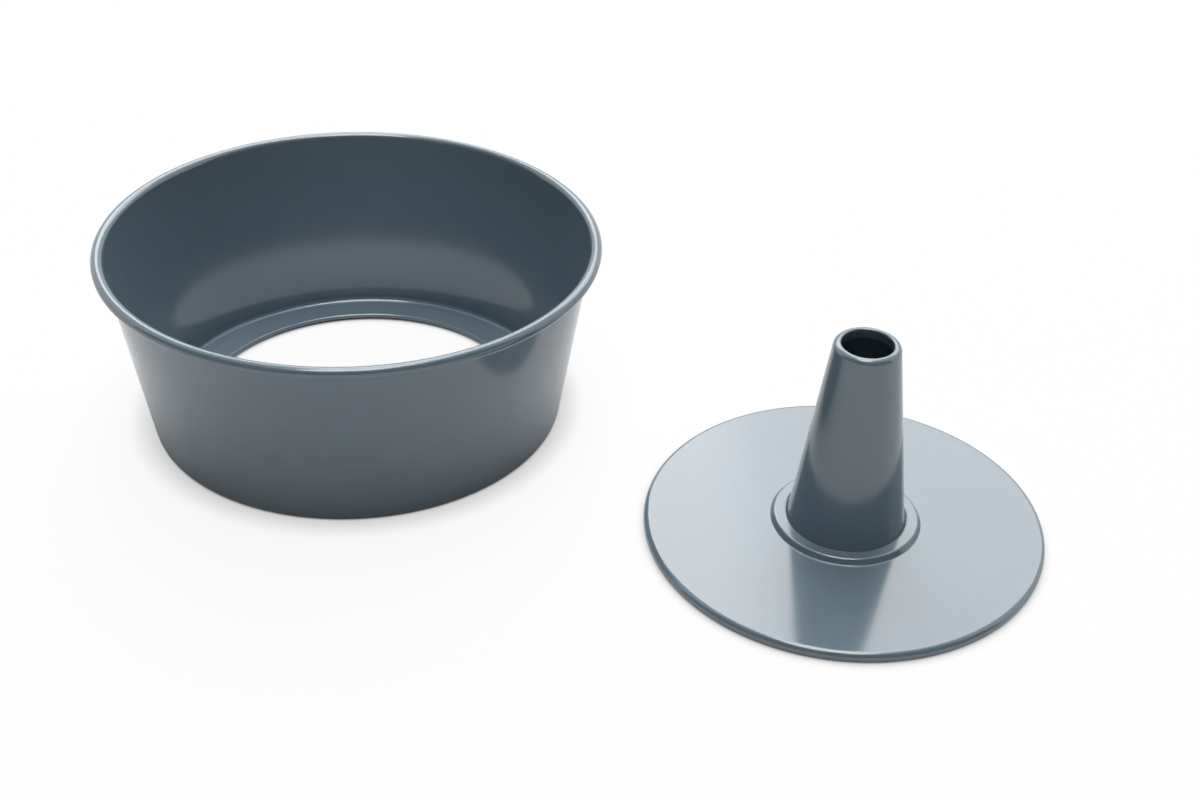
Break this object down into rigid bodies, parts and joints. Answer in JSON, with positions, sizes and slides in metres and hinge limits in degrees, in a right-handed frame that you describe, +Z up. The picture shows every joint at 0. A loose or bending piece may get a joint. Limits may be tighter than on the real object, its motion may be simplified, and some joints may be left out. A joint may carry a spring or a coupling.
{
  "type": "angel food cake pan",
  "caption": "Flared ring cake pan with a lift-out base plate and tall centre tube, the base standing beside the open ring.",
  "frame": {"origin": "on the surface that both halves stand on, in the middle of the pair's length", "axes": "+X from the ring's axis to the base's axis, +Z up"},
  "size_m": [0.505, 0.254, 0.1112],
  "materials": {
    "coating": "satin slate-blue non-stick coating on sheet metal",
    "wire": "drawn steel wire"
  },
  "bodies": {
    "ring": {"pan_wall": "coating", "rim_wire": "wire"},
    "base": {"base_plate": "coating", "centre_tube": "coating"}
  },
  "joints": [
    {"name": "base_lift", "type": "slide", "parent": "ring", "child": "base", "axis": [0, 0, 1], "range_m": [0, 0.115]}
  ]
}
